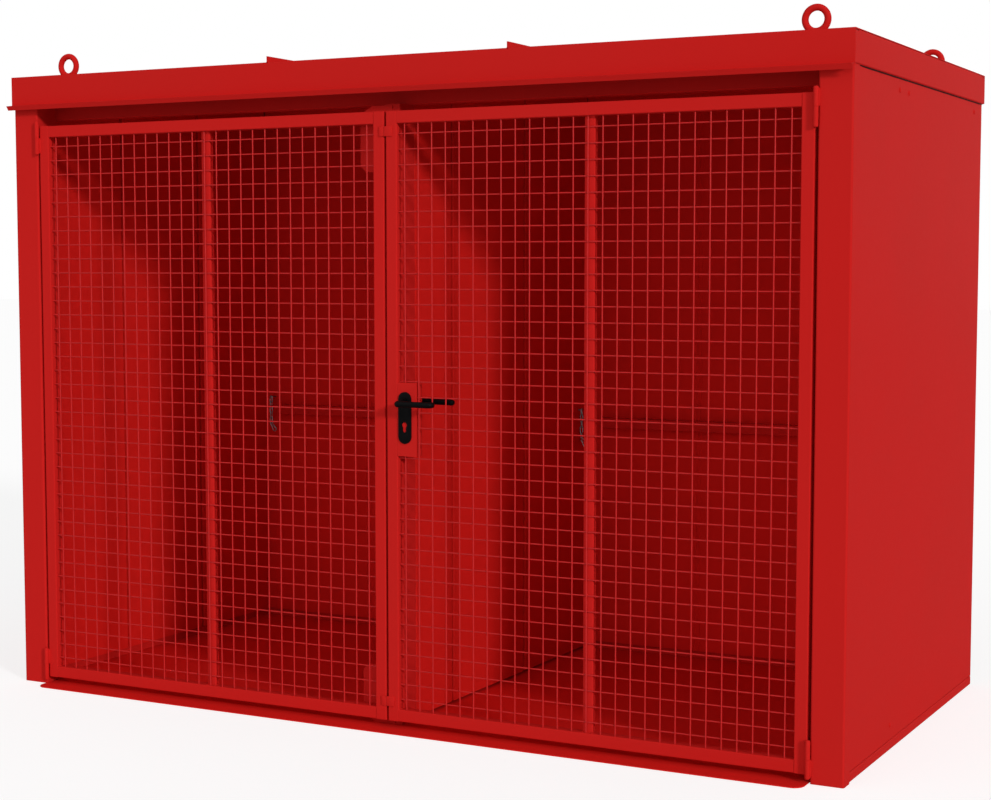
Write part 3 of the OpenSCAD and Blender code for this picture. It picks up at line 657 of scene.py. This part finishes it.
def add_lock_plate(form, y, side):
    plate = bmesh.new()
    half = plate_w / 2
    low_z, high_z = plates_low[2] + half, plates_high[2] - half
    corner = plate.verts.new((plate_x + half, y, low_z))
    corner = draw_line(plate, corner, (0.0, 0.0, high_z - low_z))
    corner = draw_arc(plate, corner, (plate_x, y, high_z), math.pi, 20)
    corner = draw_line(plate, corner, (0.0, 0.0, low_z - high_z))
    draw_arc(plate, corner, (plate_x, y, low_z), math.pi, 20)
    bmesh.ops.create_circle(
        plate, segments=28, radius=neck_hole_r,
        matrix=Matrix.Translation((plate_x, y, lever_z)) @ Matrix.Rotation(math.pi / 2, 4, "X"),
    )
    lean = math.asin(slot_half / key_r)
    start_z = key_z - key_r * math.cos(lean)
    corner = plate.verts.new((key_x + slot_half, y, start_z))
    corner = draw_arc(plate, corner, (key_x, y, key_z), 2 * (math.pi - lean), 20)
    corner = draw_line(plate, corner, (0.0, 0.0, key_z - slot_fall - start_z))
    corner = draw_arc(plate, corner, (key_x, y, key_z - slot_fall), math.pi, 12)
    draw_line(plate, corner, (0.0, 0.0, start_z - key_z + slot_fall))
    bmesh.ops.remove_doubles(plate, verts=plate.verts, dist=0.00005)
    bmesh.ops.triangle_fill(plate, use_beauty=True, use_dissolve=False, edges=plate.edges)
    raised = bmesh.ops.extrude_face_region(plate, geom=plate.faces[:])["geom"]
    raised = [item for item in raised if isinstance(item, bmesh.types.BMVert)]
    bmesh.ops.translate(plate, verts=raised, vec=(0.0, side * plate_t, 0.0))
    raised = set(raised)
    rims = [
        line for line in plate.edges
        if line.verts[0] in raised and line.verts[1] in raised
        and line.calc_face_angle(0.0) > 0.5
    ]
    bmesh.ops.bevel(
        plate, geom=rims, offset=plate_edge, segments=2, profile=0.5,
        affect="EDGES", material=-1,
    )
    done = bpy.data.meshes.new("lock_plate")
    plate.to_mesh(done)
    plate.free()
    form.from_mesh(done)
    bpy.data.meshes.remove(done)


form = bmesh.new()
add_lock_plate(form, front_y, -1)
add_lock_plate(form, back_y, 1)
add_piece(form, "lock_plates", "right_leaf", black, ["handle_plates"])

# The lever is one black nylon handle on either side of the door over a steel core. Each
# grip leaves the plate with a round neck, runs to the right and ends in a short return.
neck_r = 0.0105
grip_r = 0.0096
grip_reach = lever_high[1] - back_y - neck_r - 0.0002
neck_bend = 0.012
end_bend = 0.0105
grip_end = lever_high[0] - 0.0015 - grip_r - end_bend
core_r = 0.0090
core_sink = 0.002
neck_collar = [
    (0.0, 0.0100), (0.0042, 0.0100), (0.0044, 0.0112), (0.0100, 0.0112), (0.0112, neck_r),
]
grip_tip = ((0.003, 1.0), (0.0022, 0.90), (0.0018, 0.78), (0.0010, 0.55))


def add_grip(form, y, side):
    face = turn_rod(
        form, (plate_x, y, lever_z), (0.0, side, 0.0),
        neck_collar + [(grip_reach - neck_bend, neck_r)],
    )
    face = bend_on(
        form, face, (plate_x + neck_bend, y + side * (grip_reach - neck_bend), lever_z),
        "Z", -side * math.pi / 2,
    )
    run = grip_end - plate_x - neck_bend
    face = run_on(form, face, (run * 0.3, 0.0, 0.0), grip_r / neck_r)
    face = run_on(form, face, (run * 0.7, 0.0, 0.0))
    face = bend_on(
        form, face, (grip_end, y + side * (grip_reach - end_bend), lever_z),
        "Z", -side * math.pi / 2,
    )
    for move, scale in grip_tip:
        face = run_on(form, face, (0.0, -side * move, 0.0), scale)


form = bmesh.new()
add_grip(form, front_y, -1)
add_grip(form, back_y, 1)
turn_rod(
    form, (plate_x, front_y, lever_z), (0.0, 1.0, 0.0),
    [(-core_sink, core_r), (back_y - front_y + core_sink, core_r)],
)
add_piece(form, "lock_lever", "lever", black, ["lever_handle"])

# Two short chains hold the cylinders, one in each bay. They are bent and welded from
# zinc-plated wire, hang from a headed pin, and end in a hook that hangs aslant.
zinc = grained(
    "zinc_steel", (0.26, 0.27, 0.29), (0.38, 0.39, 0.41), 160.0, 0.34, 0.52, 0.00005, 0.5,
)
zinc.node_tree.nodes["Principled BSDF"].inputs["Metallic"].default_value = 1.0
link_wire_r = 0.002
link_bend_r = 0.0055
link_clear = 0.024
link_straight = 0.017
link_pitch = 0.0234
link_twists = (4, -5, 7, -3, 6)
link_sides = 8
link_steps = 14
pin_r = 0.003
pin_play = 0.0003
head_step = 0.0002
head_chamfer = 0.0008
head_r = 2 * pin_r
hook_wire_r = 0.0023
hook_bend_r = 0.0080
hook_straight = 0.024
hook_narrow = 0.62
hook_lean = -33.0
hook_drop = 0.019
gate_r = 0.0014
gate_ends = ((0.0078, 0.0, -0.011), (-0.0040, 0.0, 0.012))


def bend_link(form, place, bend_r, straight, wire_r, narrow=1.0):
    before = set(form.verts)
    ring = bmesh.ops.create_circle(
        form, segments=link_sides, radius=wire_r,
        matrix=Matrix.Translation((bend_r, 0.0, 0.0)),
    )["verts"]
    half_step = Matrix.Rotation(math.pi / link_steps, 3, "Y")
    bmesh.ops.rotate(form, verts=ring, cent=(0, 0, 0), matrix=half_step)
    lines = list({line for corner in ring for line in corner.link_edges})
    bmesh.ops.spin(
        form, geom=ring + lines, cent=(0, 0, 0), axis=(0, 1, 0), angle=2 * math.pi,
        steps=link_steps, use_merge=True, use_duplicate=False,
    )
    link = [corner for corner in form.verts if corner not in before]
    for half in (-1, 1):
        end = [corner for corner in link if corner.co.z * half > 0]
        if half > 0 and narrow != 1.0:
            bmesh.ops.scale(form, verts=end, vec=(narrow, 1.0, 1.0))
        bmesh.ops.translate(form, verts=end, vec=(0.0, 0.0, half * straight / 2))
    bmesh.ops.transform(form, matrix=place, verts=link)


for side, quarter in (("left", 0), ("right", 1)):
    chain_low, chain_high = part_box(side + "_chain")
    chain_z = chain_high[2] - 2 * pin_r
    if side == "left":
        chain_x = (chain_low[0] + chain_high[0]) / 2
        chain_y = chain_low[1] + pin_r + link_wire_r
        foot, heading = (chain_x, chain_high[1], chain_z), (0.0, -1.0, 0.0)
        reach = chain_high[1] - chain_y
    else:
        chain_x = chain_high[0] - pin_r - link_wire_r
        chain_y = (chain_low[1] + chain_high[1]) / 2
        foot, heading = (chain_low[0], chain_y, chain_z), (1.0, 0.0, 0.0)
        reach = chain_x - chain_low[0]
    form = bmesh.new()
    head = reach + link_wire_r
    turn_rod(
        form, foot, heading,
        [(0.0, pin_r), (head, pin_r), (head + head_step, head_r),
         (head + pin_r - head_chamfer, head_r), (head + pin_r, head_r - 0.0010)], 20,
    )
    first_z = chain_z + pin_r + pin_play - link_clear / 2
    for i, twist in enumerate(link_twists):
        place = Matrix.Translation((chain_x, chain_y, first_z - i * link_pitch))
        turn = Matrix.Rotation(math.radians(90.0 * (i + quarter) + twist), 4, "Z")
        bend_link(form, place @ turn, link_bend_r, link_straight, link_wire_r)
    hook_top = first_z - (len(link_twists) - 1) * link_pitch - link_clear / 2
    lean = Matrix.Rotation(math.radians(hook_lean), 4, "Y")
    place = Matrix.Translation((chain_x, chain_y, hook_top + link_wire_r)) @ lean
    place = place @ Matrix.Translation((0.0, 0.0, -hook_drop))
    bend_link(form, place, hook_bend_r, hook_straight, hook_wire_r, hook_narrow)
    gate_low, gate_high = (place @ Vector(end) for end in gate_ends)
    add_bar(form, gate_low, gate_high, gate_r)
    add_piece(form, side + "_hook_chain", "container", zinc, [side + "_chain"])

# Domed rivets with wide heads fix the side walls to the frame inside, three under the
# roof edge and one near the foot on each side. They are painted over with the wall.
rivet_places = ((-0.286, 2.063), (-0.183, 2.062), (0.663, 2.064), (-0.283, 0.081))
rivet_head = [
    (-0.0005, 0.0090), (0.0006, 0.0090), (0.0022, 0.0078), (0.0036, 0.0052),
    (0.0042, 0.0026),
]
form = bmesh.new()
for sign in (-1, 1):
    for y, z in rivet_places:
        turn_rod(form, (sign * side_x, y, z), (sign, 0.0, 0.0), rivet_head, 20)
add_piece(form, "wall_rivets", "container", red_tube)

# Fillet welds hold the door frames together in their inner corners and at the ends of
# the middle bars, and a weld runs round the collar of every lifting eye.
weld_r = 0.0022
weld_ripple = 0.0040
weld_inset = 0.003
collar_weld = [(0.0, 0.0290), (0.0015, 0.0280), (0.0032, 0.0264), (0.0044, 0.0248)]
for side in ("left", "right"):
    leaf_low, leaf_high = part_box(side + "_leaf_stiles")
    bar_low, bar_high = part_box(side + "_leaf_mid_bar")
    corners_x = (
        leaf_low[0] + leaf_tube, leaf_high[0] - leaf_tube, bar_low[0], bar_high[0],
    )
    form = bmesh.new()
    for x in corners_x:
        for z in (leaf_low[2] + leaf_tube, leaf_high[2] - leaf_tube):
            lay_bead(
                form, (x, front_y + weld_inset, z), (x, back_y - weld_inset, z),
                weld_r, weld_ripple,
            )
    add_piece(form, side + "_frame_welds", side + "_leaf", red_casting)
form = bmesh.new()
for name in casting_nodes:
    eye_low, eye_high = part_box(name)
    centre = ((eye_low[0] + eye_high[0]) / 2, (eye_low[1] + eye_high[1]) / 2, eye_low[2])
    turn_rod(form, centre, (0.0, 0.0, 1.0), collar_weld, 36)
add_piece(form, "eye_welds", "container", red_casting)
